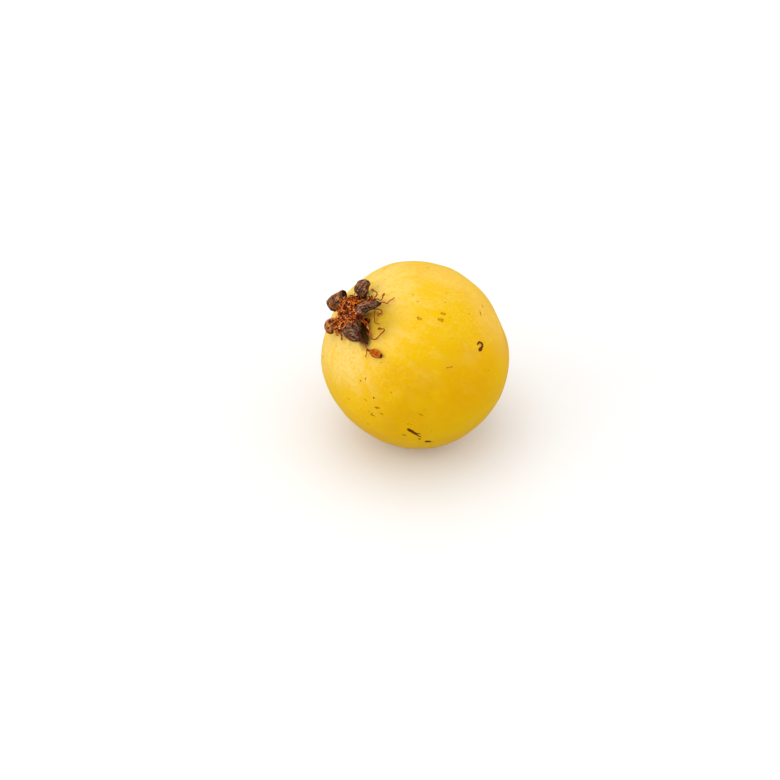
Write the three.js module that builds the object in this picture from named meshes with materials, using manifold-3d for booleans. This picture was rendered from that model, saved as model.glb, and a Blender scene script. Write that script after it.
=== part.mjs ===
// A whole ripe yellow guava of the small, round, cherry-guava kind, lying on its side as picked.
// The fruit itself is one solid. Its calyx end still carries what is left of the flower: the dry
// calyx ring, five curled sepals, a tuft of stamens, a few loose stamens, the style and one
// withered petal caught beside them.
//
// Everything is built in the fruit's own frame, in millimetres: its centre at 0 and +Z out through
// the calyx. The group `guava` then lays it down, with the resting spot centred on the origin and
// +Z up.
//
// A place on the skin is given as a polar angle from the calyx axis, a longitude round that axis
// and a lift above the skin. Longitude 0 is the side that ends up facing the table.

import * as THREE from "three";
import { mergeVertices } from "three/addons/utils/BufferGeometryUtils.js";
import Module from "manifold-3d";

const wasm = await Module();
wasm.setup();

// ---------------------------------------------------------------- driving dimensions (mm, degrees)

const FRUIT_RADIUS = 20;
const SHOULDERS = 0.035; // how strongly the outline squares off at its shoulders
const CALYX_TILT = 45; // calyx axis from the vertical
const CALYX_TURN = 186; // calyx axis round the vertical, from +X
const CENTRE_HEIGHT = 19.8; // less than the radius below it, so the fruit has a resting flat
const CENTRE_SHIFT = 0.28; // along X, to centre that flat on the origin

const GAP = 0.3; // between neighbouring pieces

// The dry calyx ring, a shallow dish with a rounded rim.
const RING_RADIUS = 3.7;
const RING_TOP = 19.55; // the crest of its rim, along the calyx axis
const RING_DEPTH = 1.2;
const RING_RIM = 0.75; // thickness of the rim
const RING_ROUND = 0.2; // rounding of the rim
const RING_HOLLOW = 0.55; // from the crest down to the dish

const TUFT_RADIUS = 3.15;
const TUFT_HEIGHT = 2.45;
const TUFT_SKIRT = 0.35; // height at which the tuft is widest
const TUFT_FOOT = 0.8; // width of its foot, as a share of its width
const TUFT_FLOOR = 19.55;

const SEPAL_THICKNESS = 0.45;
const PETAL_THICKNESS = 0.3;
const TIP_SHARE = 0.12; // width of a sepal's or petal's tip, as a share of its width
const BASE_ROLL = 0.35; // how far its base is rolled, as a share of its full roll
const LEVEL = 0.4; // share of its length at which it is fully wide and fully rolled

const FILAMENT_DIAMETER = 0.34;
const ANTHER_SIZE = [0.42, 0.3, 0.26]; // half-lengths
const STYLE_DIAMETER = 0.5;
const STIGMA_SIZE = [0.5, 0.5, 0.34]; // half-lengths

// Departures of the fruit from its smooth outline: where, how much of the radius, how wide.
const LUMPS = [
  { polar: 117, longitude: 191, amount: -0.039, width: 16 }, // flat cheek
  { polar: 140, longitude: 166, amount: -0.016, width: 15 },
  { polar: 79, longitude: 216, amount: 0.012, width: 11 },
  { polar: 52, longitude: 240, amount: 0.01, width: 13 }, // shoulders beside the calyx
  { polar: 50, longitude: 358, amount: 0.011, width: 15 },
  { polar: 114, longitude: 46, amount: -0.009, width: 15 },
  { polar: 96, longitude: 292, amount: -0.014, width: 24 },
  { polar: 0, longitude: 0, amount: -0.01, width: 20 }, // seat of the calyx
  { polar: 180, longitude: 0, amount: -0.022, width: 9 }, // dimple of the stem scar
];

// Sepals, in order round the ring. `at`, `reach` and `height` place the base. The sheet leaves it
// at the slope `rise`, veers by `yaw` from straight outwards and leans over by `bank`. Over its
// length it curls by `bend`, sooner the larger `early`, and its margins curl under by `roll`.
// `blunt` sets how late it narrows and `foot` how wide its base is, as a share of its width.
const SEPALS = [
  {
    name: "sepal_far",
    at: 306, reach: 4.9, height: 20.2, yaw: -44, bank: 0,
    length: 6.1, width: 4.5, rise: 98, bend: -272, early: 1, roll: 12, blunt: 9, foot: 1,
  },
  {
    name: "sepal_low",
    at: 358, reach: 4.4, height: 20.2, yaw: 38, bank: 0,
    length: 5.2, width: 4.4, rise: 88, bend: -185, early: 1, roll: 80, blunt: 2.5, foot: 0.8,
  },
  {
    name: "sepal_front",
    at: 66, reach: 4.5, height: 21.2, yaw: 50, bank: 35,
    length: 6.6, width: 7.6, rise: 60, bend: -92, early: 2, roll: 176, blunt: 6, foot: 0.65,
  },
  {
    name: "sepal_pointed",
    at: 122, reach: 4.2, height: 20.3, yaw: 37, bank: -4,
    length: 8.2, width: 6.6, rise: 95, bend: -121, early: 3, roll: 225, blunt: 1, foot: 0.6,
  },
  {
    name: "sepal_upper",
    at: 207, reach: 3.9, height: 20.1, yaw: 2, bank: 34,
    length: 6.7, width: 5, rise: 108, bend: -235, early: 1, roll: 180, blunt: 3, foot: 0.7,
  },
];

// Loose stamens: [polar, longitude, lift] along each filament, from the tuft outwards. An anther
// sits at the last point unless it has been lost.
const STAMENS = [
  {
    name: "stamen_hook",
    path: [[18.5, 158, 1.2], [19.3, 165, 1], [20.7, 170, 1], [20.4, 175, 1.1], [18.6, 184, 1.3]],
  },
  {
    name: "stamen_knob",
    path: [[21.4, 160, 1.1], [23.5, 157.5, 0.9], [24.5, 160.5, 1], [25.4, 164.3, 1.2]],
  },
  {
    name: "stamen_bent",
    lostAnther: true,
    path: [[25.4, 153.6, 0.8], [28, 152, 0.7], [28.7, 154.4, 0.7], [32, 160, 0.6]],
  },
  {
    name: "stamen_loop",
    path: [[23, 142.5, 0.9], [25.6, 141.6, 0.8], [27, 138.4, 0.7], [25.6, 134.8, 0.8]],
  },
  {
    name: "stamen_drop",
    lostAnther: true,
    path: [[22.8, 132, 0.8], [24.2, 126.2, 0.6], [25.8, 122.4, 0.6], [29, 123.8, 0.6]],
  },
  {
    name: "stamen_elbow",
    path: [[30.6, 105.2, 0.6], [33.2, 109.2, 0.6], [34, 120.5, 0.7], [31, 119.5, 0.9]],
  },
  {
    name: "stamen_front",
    path: [[22, 116, 1.6], [24.3, 113.4, 1.3], [26.6, 110.4, 1], [28.6, 106.8, 0.8]],
  },
  {
    name: "stamen_low",
    lostAnther: true,
    path: [[32.8, 94.2, 0.6], [33.6, 93, 0.6], [34.8, 91.2, 0.6], [36.6, 87.5, 0.6]],
  },
  {
    name: "stamen_stub",
    path: [[15, 36, 1.2], [16, 46, 0.9], [19, 53, 0.8]],
  },
];
const STYLE_PATH = [[25.6, 98, 1.9], [27.2, 96, 1.4], [29.2, 95.4, 1], [31.2, 97.8, 0.9]];

// The withered petal lies on the skin, its narrow base towards the calyx. `heading` turns it from
// straight away from the calyx.
const PETAL = {
  polar: 35, longitude: 94.5, lift: 0.65, heading: 28,
  length: 3.4, width: 2, rise: 6, bend: -16, early: 1, roll: 50, blunt: 2.5, foot: 0.25,
};

const FLESH_COLOUR = 0xf2bf22;
const SEPAL_COLOUR = 0x4a2e24;
const RING_COLOUR = 0x3a211a;
const STAMEN_COLOUR = 0x9a4420;
const STYLE_COLOUR = 0x6b2a22;
const PETAL_COLOUR = 0xb86a20;

const FRUIT_AROUND = 60; // faces round each shape
const FRUIT_ROWS = 36;
const RING_AROUND = 28;
const TUFT_AROUND = 20;
const TUFT_ROWS = 10;
const TUFT_LOBES = 3; // shallow bulges round the tuft
const TUFT_LOBE_DEPTH = 0.06;
const SHEET_ACROSS = 6;
const SHEET_ALONG = 9;
const BEND_STEPS = 40;
const THREAD_SIDES = 6;
const STEPS_PER_POINT = 4;
const HEAD_AROUND = 10;
const HEAD_ROWS = 6;

// ------------------------------------------------------------------------------ small helpers

const rad = THREE.MathUtils.degToRad;
const { smoothstep } = THREE.MathUtils;

function direction(polar, longitude) {
  return new THREE.Vector3(
    Math.sin(rad(polar)) * Math.cos(rad(longitude)),
    Math.sin(rad(polar)) * Math.sin(rad(longitude)),
    Math.cos(rad(polar)),
  );
}

// Distance from the fruit's centre to its skin: a sphere squared off at the shoulders by the
// fourth Legendre polynomial, then the lumps.
function skinRadius(unit) {
  const c2 = unit.z * unit.z;
  const legendre4 = (35 * c2 * c2 - 30 * c2 + 3) / 8;
  let share = 1 - SHOULDERS * legendre4;
  for (const lump of LUMPS) {
    const away = unit.angleTo(direction(lump.polar, lump.longitude)) / rad(lump.width);
    share += lump.amount * Math.exp(-away * away);
  }
  return FRUIT_RADIUS * share;
}

function overSkin([polar, longitude, lift]) {
  const unit = direction(polar, longitude);
  return unit.multiplyScalar(skinRadius(unit) + lift);
}

function toSolid(geometry) {
  const bare = new THREE.BufferGeometry();
  bare.setAttribute("position", geometry.getAttribute("position"));
  bare.setIndex(geometry.index);
  const merged = mergeVertices(bare, 1e-4);
  return new wasm.Manifold(
    new wasm.Mesh({
      numProp: 3,
      vertProperties: merged.attributes.position.array,
      triVerts: new Uint32Array(merged.index.array),
    }),
  );
}

function toGeometry(solid) {
  const mesh = solid.getMesh();
  const geometry = new THREE.BufferGeometry();
  geometry.setAttribute("position", new THREE.BufferAttribute(mesh.vertProperties, 3));
  geometry.setIndex(new THREE.BufferAttribute(mesh.triVerts, 1));
  geometry.computeVertexNormals();
  return geometry;
}

function named(name, geometry, color, roughness) {
  const material = new THREE.MeshStandardMaterial({ color, roughness, metalness: 0 });
  const mesh = new THREE.Mesh(geometry, material);
  mesh.name = name;
  return mesh;
}

// Moves every vertex of a geometry to where place(vertex) puts it.
function reshape(geometry, place) {
  const position = geometry.getAttribute("position");
  const vertex = new THREE.Vector3();
  for (let i = 0; i < position.count; i++) {
    const to = place(vertex.fromBufferAttribute(position, i));
    position.setXYZ(i, to.x, to.y, to.z);
  }
  return geometry;
}

// ------------------------------------------------------------------------------ the fruit

function layDown(group) {
  group.rotation.set(0, rad(CALYX_TILT), rad(CALYX_TURN), "ZYX");
  group.position.set(CENTRE_SHIFT, 0, CENTRE_HEIGHT);
  group.updateMatrix();
}

// The recess in the calyx end that holds the ring, as wide as the ring and its gap.
function ringSeat() {
  const radius = RING_RADIUS + GAP;
  const depth = RING_DEPTH + GAP;
  const seat = new THREE.CylinderGeometry(radius, radius, 2 * depth, RING_AROUND);
  seat.rotateX(Math.PI / 2);
  seat.translate(0, 0, RING_TOP);
  return toSolid(seat);
}

// Everything below the table, in the fruit's own frame.
function belowTable(pose) {
  const side = 4 * FRUIT_RADIUS;
  const slab = new THREE.BoxGeometry(side, side, side);
  slab.translate(0, 0, -side / 2);
  slab.applyMatrix4(pose.clone().invert());
  return toSolid(slab);
}

function fruitBody(pose) {
  const ball = new THREE.SphereGeometry(1, FRUIT_AROUND, FRUIT_ROWS);
  ball.rotateX(Math.PI / 2);
  reshape(ball, (v) => v.normalize().multiplyScalar(skinRadius(v)));
  return toGeometry(toSolid(ball).subtract(ringSeat()).subtract(belowTable(pose)));
}

// ------------------------------------------------------------------------------ flower remains

function calyxRing() {
  const foot = RING_TOP - RING_DEPTH;
  const dish = RING_TOP - RING_HOLLOW;
  const inner = RING_RADIUS - RING_RIM;
  const profile = [
    [0, foot],
    [RING_RADIUS - RING_ROUND, foot],
    [RING_RADIUS, foot + RING_ROUND],
    [RING_RADIUS, RING_TOP - RING_ROUND],
    [RING_RADIUS - RING_ROUND, RING_TOP],
    [inner + RING_ROUND, RING_TOP],
    [inner, dish],
    [0, dish],
  ].map(([radius, height]) => new THREE.Vector2(radius, height));
  const ring = new THREE.LatheGeometry(profile, RING_AROUND);
  return ring.rotateX(Math.PI / 2);
}

// Half-width of a sepal or petal at share t of its length, as a share of its greatest half-width.
function outline(t, { blunt, foot }) {
  const widening = foot + (1 - foot) * smoothstep(t, 0, LEVEL);
  return widening * (TIP_SHARE + (1 - TIP_SHARE) * (1 - t ** blunt) ** 0.6);
}

// The middle line of a sheet that leaves the origin along +X at `rise` degrees and turns by `bend`:
// at share t of its length, the point it has reached and the slope there.
function middleLine({ length, rise, bend, early }, t) {
  const slopeAt = (share) => rad(rise + bend * (1 - (1 - share) ** early));
  const step = (length * t) / BEND_STEPS;
  const point = new THREE.Vector3();
  for (let i = 0; i < BEND_STEPS; i++) {
    const here = slopeAt((t * (i + 0.5)) / BEND_STEPS);
    point.x += Math.cos(here) * step;
    point.z += Math.sin(here) * step;
  }
  return { point, slope: slopeAt(t) };
}

// A sheet that follows its middle line, with its margins rolled under.
function curledSheet(spec, thickness) {
  const block = new THREE.BoxGeometry(2, 1, 1, SHEET_ACROSS, SHEET_ALONG, 1);
  const side = new THREE.Vector3(0, -1, 0);
  return reshape(block, (v) => {
    const along = v.y + 0.5;
    const { point, slope } = middleLine(spec, along);
    const up = new THREE.Vector3(-Math.sin(slope), 0, Math.cos(slope));
    const rolled = BASE_ROLL + (1 - BASE_ROLL) * smoothstep(along, 0, LEVEL);
    const halfRoll = (rad(spec.roll) / 2) * rolled;
    const radius = ((spec.width / 2) * outline(along, spec)) / halfRoll;
    const angle = v.x * halfRoll;
    const outwards = up.clone().multiplyScalar(Math.cos(angle));
    outwards.addScaledVector(side, Math.sin(angle));
    point.addScaledVector(up, -radius);
    return point.addScaledVector(outwards, radius + v.z * thickness);
  });
}

function sepal(spec) {
  const mesh = named(spec.name, curledSheet(spec, SEPAL_THICKNESS), SEPAL_COLOUR, 0.8);
  const base = direction(90, spec.at).multiplyScalar(spec.reach);
  mesh.position.set(base.x, base.y, spec.height);
  mesh.rotation.set(rad(spec.bank), 0, rad(spec.at + spec.yaw), "ZYX");
  return mesh;
}

// The mound of dried stamens on the dish, flat below.
function stamenTuft() {
  const mound = new THREE.SphereGeometry(1, TUFT_AROUND, TUFT_ROWS);
  mound.rotateX(Math.PI / 2);
  return reshape(mound, (v) => {
    const lobed = 1 + TUFT_LOBE_DEPTH * Math.sin(TUFT_LOBES * Math.atan2(v.y, v.x) + 1);
    const width = TUFT_RADIUS * lobed * (v.z < 0 ? TUFT_FOOT : 1);
    const rise = v.z < 0 ? TUFT_SKIRT : TUFT_HEIGHT - TUFT_SKIRT;
    return v.set(v.x * width, v.y * width, TUFT_FLOOR + TUFT_SKIRT + rise * v.z);
  });
}

// A round thread through the given points.
function thread(points, diameter) {
  const corners = Array.from({ length: THREAD_SIDES }, (_, i) => {
    const angle = (2 * Math.PI * i) / THREAD_SIDES;
    return new THREE.Vector2(Math.cos(angle), Math.sin(angle)).multiplyScalar(diameter / 2);
  });
  const extrudePath = new THREE.CatmullRomCurve3(points);
  const steps = STEPS_PER_POINT * (points.length - 1);
  return toSolid(new THREE.ExtrudeGeometry(new THREE.Shape(corners), { extrudePath, steps }));
}

// An ellipsoid head at the end of a thread, its short axis square to the skin.
function head(points, halfLengths) {
  const tip = points.at(-1);
  const up = new THREE.Vector3(0, 0, 1);
  const ball = new THREE.SphereGeometry(1, HEAD_AROUND, HEAD_ROWS);
  ball.rotateX(Math.PI / 2);
  ball.scale(...halfLengths);
  ball.applyQuaternion(new THREE.Quaternion().setFromUnitVectors(up, tip.clone().normalize()));
  ball.translate(tip.x, tip.y, tip.z);
  return toSolid(ball);
}

function stamen({ name, path, lostAnther }) {
  const points = path.map(overSkin);
  const filament = thread(points, FILAMENT_DIAMETER);
  const whole = lostAnther ? filament : filament.add(head(points, ANTHER_SIZE));
  return named(name, toGeometry(whole), STAMEN_COLOUR, 0.7);
}

function style() {
  const points = STYLE_PATH.map(overSkin);
  const whole = thread(points, STYLE_DIAMETER).add(head(points, STIGMA_SIZE));
  return named("style", toGeometry(whole), STYLE_COLOUR, 0.7);
}

function witheredPetal() {
  const mesh = named("withered_petal", curledSheet(PETAL, PETAL_THICKNESS), PETAL_COLOUR, 0.6);
  mesh.position.copy(overSkin([PETAL.polar, PETAL.longitude, PETAL.lift]));
  const outwards = mesh.position.clone().normalize();
  const away = direction(PETAL.polar + 90, PETAL.longitude);
  away.applyAxisAngle(outwards, rad(PETAL.heading));
  const side = outwards.clone().cross(away);
  mesh.quaternion.setFromRotationMatrix(new THREE.Matrix4().makeBasis(away, side, outwards));
  return mesh;
}

// ------------------------------------------------------------------------------ the whole guava

const guava = new THREE.Group();
layDown(guava);
guava.add(named("fruit", fruitBody(guava.matrix), FLESH_COLOUR, 0.45));
guava.add(named("calyx_ring", calyxRing(), RING_COLOUR, 0.85));
guava.add(...SEPALS.map(sepal));
guava.add(named("stamen_tuft", stamenTuft(), STAMEN_COLOUR, 0.8));
guava.add(...STAMENS.map(stamen));
guava.add(style());
guava.add(witheredPetal());

const part = new THREE.Group();
part.add(guava);

export default part;
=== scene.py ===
"""A whole ripe yellow guava of the small, round, cherry-guava kind, lying on its side.

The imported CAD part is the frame, and each piece made here stands for one of its nodes. The pieces
are shaped in the fruit's own frame, in millimetres: its centre at 0 and +Z out through the calyx.
A place on the skin is a polar angle from that axis, a longitude round it and a lift above the
skin. Longitude 0 is the side that faces the table.
"""

import math

import bpy
import numpy as np
from mathutils import Matrix, Vector
from mathutils.bvhtree import BVHTree


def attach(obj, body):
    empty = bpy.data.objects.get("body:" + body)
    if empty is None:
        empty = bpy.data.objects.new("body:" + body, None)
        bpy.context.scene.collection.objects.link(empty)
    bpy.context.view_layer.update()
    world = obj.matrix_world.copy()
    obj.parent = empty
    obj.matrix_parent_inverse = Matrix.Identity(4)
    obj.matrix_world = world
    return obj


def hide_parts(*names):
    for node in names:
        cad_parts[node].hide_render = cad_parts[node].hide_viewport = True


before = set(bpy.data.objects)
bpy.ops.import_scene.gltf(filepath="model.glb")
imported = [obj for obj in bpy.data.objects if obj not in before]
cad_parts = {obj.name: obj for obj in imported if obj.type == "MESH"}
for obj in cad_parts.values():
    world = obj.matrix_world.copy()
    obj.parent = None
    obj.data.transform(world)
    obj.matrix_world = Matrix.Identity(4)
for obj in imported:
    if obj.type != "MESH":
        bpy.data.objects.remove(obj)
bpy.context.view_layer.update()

# ---- dimensions shared with the CAD

FRUIT_RADIUS = 20
SHOULDERS = 0.035  # how strongly the outline squares off at its shoulders
CALYX_TILT = 45  # calyx axis from the vertical
CALYX_TURN = 186  # calyx axis round the vertical, from +X
CENTRE_HEIGHT = 19.8
CENTRE_SHIFT = 0.28

RING_RADIUS = 3.7
RING_TOP = 19.55
RING_DEPTH = 1.2
RING_RIM = 0.75  # width of the rim round its dish
RING_HOLLOW = 0.55  # depth of the dish

TUFT_RADIUS = 3.15
TUFT_HEIGHT = 2.45
TUFT_SKIRT = 0.35  # height of its side, below the dome
TUFT_FLOOR = 19.55
TUFT_LOBES = 3
TUFT_LOBE_DEPTH = 0.06  # as a share of its radius

SEPAL_THICKNESS = 0.45
PETAL_THICKNESS = 0.3
TIP_SHARE = 0.12  # width of a sheet's tip, as a share of its greatest width
BASE_ROLL = 0.35  # share of its roll that a sheet has at its foot
LEVEL = 0.4  # share of its length by which a sheet has its full width and roll

FILAMENT_DIAMETER = 0.34
STYLE_DIAMETER = 0.5

# Departures of the fruit from its smooth outline: polar, longitude, share of the radius, width.
LUMPS = [
    (117, 191, -0.039, 16),
    (140, 166, -0.016, 15),
    (79, 216, 0.012, 11),
    (52, 240, 0.01, 13),
    (50, 358, 0.011, 15),
    (114, 46, -0.009, 15),
    (96, 292, -0.014, 24),
    (0, 0, -0.01, 20),
    (180, 0, -0.022, 9),
]

# A sheet starts at a slope (rise) and turns along its length (bend), sooner the greater `early` is.
# Its margins roll under (roll), foot and tip are shares of its width, and the greater `blunt` is,
# the later it narrows. Sepals stand at a longitude and a reach from the calyx axis, turned by
# their yaw and bank.
SEPALS = {
    "sepal_far": dict(
        at=306, reach=4.9, height=20.2, yaw=-44, bank=0, length=6.1, width=4.5,
        rise=98, bend=-272, early=1, roll=12, blunt=9, foot=1,
    ),
    "sepal_low": dict(
        at=358, reach=3.9, height=20.1, yaw=46, bank=0, length=5.4, width=4.6,
        rise=88, bend=-185, early=1, roll=80, blunt=2.5, foot=0.8,
    ),
    "sepal_front": dict(
        at=64, reach=4.5, height=20.4, yaw=54, bank=50, length=6.8, width=8.8,
        rise=58, bend=-94, early=2, roll=165, blunt=6, foot=0.65,
    ),
    "sepal_pointed": dict(
        at=122, reach=4.2, height=20, yaw=36, bank=-4, length=8.3, width=7,
        rise=95, bend=-120, early=3, roll=230, blunt=0.85, foot=0.6, tip=0.03,
    ),
    "sepal_upper": dict(
        at=207, reach=3.65, height=20.1, yaw=2, bank=34, length=6.8, width=5.2,
        rise=108, bend=-235, early=1, roll=180, blunt=3, foot=0.7,
    ),
}

# Its heading turns it from straight away from the calyx.
PETAL = dict(
    polar=35, longitude=94.5, lift=0.65, heading=28, length=3.4, width=2,
    rise=6, bend=-16, early=1, roll=50, blunt=2.5, foot=0.25,
)

# Loose stamens: [polar, longitude, lift] along each filament, from the tuft outwards. They began
# as readings off the photograph that a scratch script turned into angles, see report.md.
STAMENS = {
    "stamen_hook": [
        [18.5, 158, 1.2], [19.3, 165, 1], [20.7, 170, 1], [20.4, 175, 1.1], [18.6, 184, 1.3],
    ],
    "stamen_knob": [[21.4, 160, 1.1], [23.5, 157.5, 0.9], [24.5, 160.5, 1], [25.4, 164.3, 1.2]],
    "stamen_bent": [[25.4, 153.6, 0.8], [28, 152, 0.7], [28.7, 154.4, 0.7], [32, 160, 0.6]],
    "stamen_loop": [[23, 142.5, 0.9], [25.6, 141.6, 0.8], [27, 138.4, 0.7], [25.6, 134.8, 0.8]],
    "stamen_drop": [[22.8, 132, 0.8], [24.2, 126.2, 0.6], [25.8, 122.4, 0.6], [29, 123.8, 0.6]],
    "stamen_elbow": [[30.6, 105.2, 0.6], [33.2, 109.2, 0.6], [34, 120.5, 0.7], [31, 119.5, 0.9]],
    "stamen_front": [[22, 116, 1.6], [24.3, 113.4, 1.3], [26.6, 110.4, 1], [28.6, 106.8, 0.8]],
    "stamen_low": [[32.8, 94.2, 0.6], [33.6, 93, 0.6], [34.8, 91.2, 0.6], [36.6, 87.5, 0.6]],
    "stamen_stub": [[15, 36, 1.2], [16, 46, 0.9], [19, 53, 0.8]],
}
LOST_ANTHER = {"stamen_bent", "stamen_drop", "stamen_low"}
STYLE_PATH = [[25.6, 98, 1.9], [27.2, 96, 1.4], [29.2, 95.4, 1], [31.2, 97.8, 0.9]]

# ---- detail added here

MM = 0.001

SKIN_CELLS = 120  # along each edge of the cube that the skin's mesh comes from
RIND = [(0.1, 17, 1), (0.03, 6, 2), (0.006, 1.6, 2)]  # its swells: height, size, octaves
SEAT_EDGE = 11.2  # polar angle at which the skin dips under the calyx ring
SEAT_SLOPE = 1.2  # degrees over which it dips
SEAT_DROP = 1.3
COLLAR = 0.22  # how far the skin swells up round the ring
COLLAR_PLACE = (12.6, 2)  # polar angle and width in degrees
PUCKER = 0.09  # depth of the creases that run out from the calyx
STEM_SCAR = 1.5  # radius of the dry scar at the stem end
SCAR_DEPTH = 0.3
SCAR_LIP = 0.16  # height of its swollen edge
SCAR_PUCKER = 0.09
FLAT_EDGE = 0.06  # how softly the skin bends to its resting flat

SHEET_ACROSS = 60  # points from margin to margin
SHEET_ALONG = 84  # rows of points from foot to tip
RIB_SPACING = 0.5
RIB_DEPTH = 0.04
SWELL_DEPTH = 0.02
WRINKLE_DEPTH = 0.012
WAVE_DEPTH = 0.06
MARGIN_FRAY = 0.035  # how ragged the margins are, as a share of the width
TIP_FRAY = 0.025  # how ragged the tip is, as a share of the length

TUFT_THREADS = 290
TUFT_COVER = 0.3  # thickness of the layer of loose threads over the matted core
TUFT_SPREAD = 9.5  # degrees from the calyx axis
TUFT_STEPS = 6  # points along each thread
TUFT_STEP = 1.6  # degrees from one to the next
STIFF = 0.45  # the most that a thread rises or drops from one to the next
CORE_RELIEF = 0.22
LAYERS = (-0.2, 0.5)  # how high over the core a thread lies
UNEVEN = 0.18  # how much its points depart from that
TUCKED_IN = 0.5  # how much lower its first point is
# Where the tuft spills over its neighbours: polar, longitude, spread in degrees,
# number of threads and how much paler they are.
OVERFLOWS = [
    (12.5, 174, 2.8, 30, -0.3),
    (18, 162.5, 1.7, 14, -0.45),
    (12.5, 33, 2.6, 30, 0),
    (17, 108, 3, 26, -0.1),
    (11.5, 72, 3, 26, 0),
    (19, 117, 1.8, 9, -0.4),
]
# Single threads over the sepals, as (polar, longitude) points. The last one ends in a big pollen
# head.
STRANDS = [
    [(13.4, 80), (15, 77), (17, 82), (17.2, 89), (15.2, 91), (13.6, 86), (13.8, 79)],
    [(7, 50), (11, 42), (15, 44), (18, 52)],
    [(9, 88), (12, 96), (16, 98), (19, 103)],
    [(8, 30), (12, 20), (15, 26), (16.5, 34)],
    [(9, 110), (13, 110), (17, 113), (20, 112.5), (22.7, 111.2)],
]
THREAD_RADIUS = (0.06, 0.11)
THREAD_LIFT = 0.2  # of the single threads
ANTHER_HALF = (0.25, 0.17, 0.13)  # half-lengths
BIG_ANTHER_HALF = (0.55, 0.27, 0.22)
LOOSE_ANTHER_HALF = (0.46, 0.28, 0.22)
ANTHER_SHARE = 0.3  # of the tuft's threads

# Thickness here as a share of what the CAD states.
FILAMENT_SHARE = 0.8
STYLE_SHARE = 1.05
STIGMA_SHARE = 0.9
PETAL_SHARE = 0.7

# ---- small geometry


def direction(polar, longitude):
    """Unit vectors towards polar angles and longitudes, in degrees."""
    polar, longitude = np.broadcast_arrays(np.radians(polar), np.radians(longitude))
    flat = np.sin(polar)
    return np.stack([flat * np.cos(longitude), flat * np.sin(longitude), np.cos(polar)], -1)


def turn_about(axis, degrees):
    return np.array(Matrix.Rotation(math.radians(degrees), 3, axis))


def unit(vectors):
    return vectors / np.linalg.norm(vectors, axis=-1, keepdims=True)


def smoothstep(values, low, high):
    share = np.clip((values - low) / (high - low), 0, 1)
    return share * share * (3 - 2 * share)


def bell(values, middle, width):
    return np.exp(-(((values - middle) / width) ** 2))


WAVES = 9


def ripple(points, size, seed, octaves=2):
    """Smooth random relief, mostly between -1 and 1, its swells about half of size mm across."""
    random = np.random.default_rng(seed)
    total = np.zeros(points.shape[:-1])
    for octave in range(octaves):
        for _ in range(WAVES):
            wave = unit(random.normal(size=points.shape[-1])) * random.uniform(0.7, 1.3)
            phase = points @ wave * (2 * math.pi * 2**octave / size)
            total += np.sin(phase + random.uniform(0, 2 * math.pi)) / 2**octave
    return total / math.sqrt(WAVES)


def skin_radius(units):
    """Distance from the fruit's centre to its smooth skin, the same formula as in the CAD."""
    c2 = units[..., 2] ** 2
    share = 1 - SHOULDERS * (35 * c2 * c2 - 30 * c2 + 3) / 8
    for polar, longitude, amount, width in LUMPS:
        cosine = np.clip(units @ direction(polar, longitude), -1, 1)
        share = share + amount * bell(np.degrees(np.arccos(cosine)), 0, width)
    return FRUIT_RADIUS * share


def over_skin(polar, longitude, lift=0.0):
    units = direction(polar, longitude)
    return units * (skin_radius(units) + lift)[..., None]


CENTRE = np.array([CENTRE_SHIFT, 0, CENTRE_HEIGHT])
LAID_DOWN = turn_about("Z", CALYX_TURN) @ turn_about("Y", CALYX_TILT)


def laid_down(points):
    """Points of the fruit's own frame, moved to where they lie on the table."""
    return points @ LAID_DOWN.T + CENTRE


def smooth_path(controls, per_span):
    """Points along a Catmull-Rom curve through the control points."""
    controls = np.asarray(controls, float)
    first = 2 * controls[0] - controls[1]
    last = 2 * controls[-1] - controls[-2]
    padded = np.vstack([first, controls, last])
    points = []
    for a, b, c, d in zip(padded, padded[1:], padded[2:], padded[3:]):
        for share in np.arange(per_span) / per_span:
            bent = (2 * a - 5 * b + 4 * c - d) * share**2 + (3 * b - 3 * c + d - a) * share**3
            points.append(b + ((c - a) * share + bent) / 2)
    return np.array([*points, controls[-1]])


def tube(points, radii, sides=7):
    """Vertices and faces of a round tube along the points, closed at both ends."""
    tangents = unit(np.gradient(points, axis=0))
    across = unit(np.cross(tangents[0], [0.31, 0.57, 0.76]))
    angles = 2 * math.pi * np.arange(sides) / sides
    rings = []
    for point, tangent, radius in zip(points, tangents, radii):
        across = unit(across - tangent * (across @ tangent))
        other = np.cross(tangent, across)
        circle = np.cos(angles)[:, None] * across + np.sin(angles)[:, None] * other
        rings.append(point + radius * circle)
    faces = strip_faces(len(points), sides)
    faces.append(list(range(sides))[::-1])
    faces.append([(len(points) - 1) * sides + i for i in range(sides)])
    return np.concatenate(rings), faces


def strip_faces(rows, around):
    """Quads between rows of vertices that each close on themselves."""
    faces = []
    for row in range(rows - 1):
        for i in range(around):
            j = (i + 1) % around
            low, high = row * around, (row + 1) * around
            faces.append([low + i, low + j, high + j, high + i])
    return faces


def lathe(profile, around):
    """A solid turned round Z from (radius, height) points that start and end on the axis."""
    radius, height = np.array(profile[1:-1]).T
    angles = 2 * math.pi * np.arange(around) / around
    turned = np.outer(radius, np.cos(angles)), np.outer(radius, np.sin(angles))
    rows = np.stack([*turned, np.repeat(height[:, None], around, 1)], -1).reshape(-1, 3)
    ends = [[0, 0, profile[0][1]], [0, 0, profile[-1][1]]]
    faces = strip_faces(len(radius), around)
    bottom, top = len(rows), len(rows) + 1
    last = len(rows) - around
    for i in range(around):
        j = (i + 1) % around
        faces.append([bottom, j, i])
        faces.append([top, last + i, last + j])
    return np.vstack([rows, ends]), faces


def ball(around, rows):
    """Vertices and faces of a unit sphere with its poles on the Z axis."""
    rise = math.pi * np.arange(rows + 1) / rows
    return lathe(np.stack([np.sin(rise), -np.cos(rise)], -1), around)


def into_scene(name, data):
    made = bpy.data.objects.new(name, data)
    bpy.context.scene.collection.objects.link(made)
    return made


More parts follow.
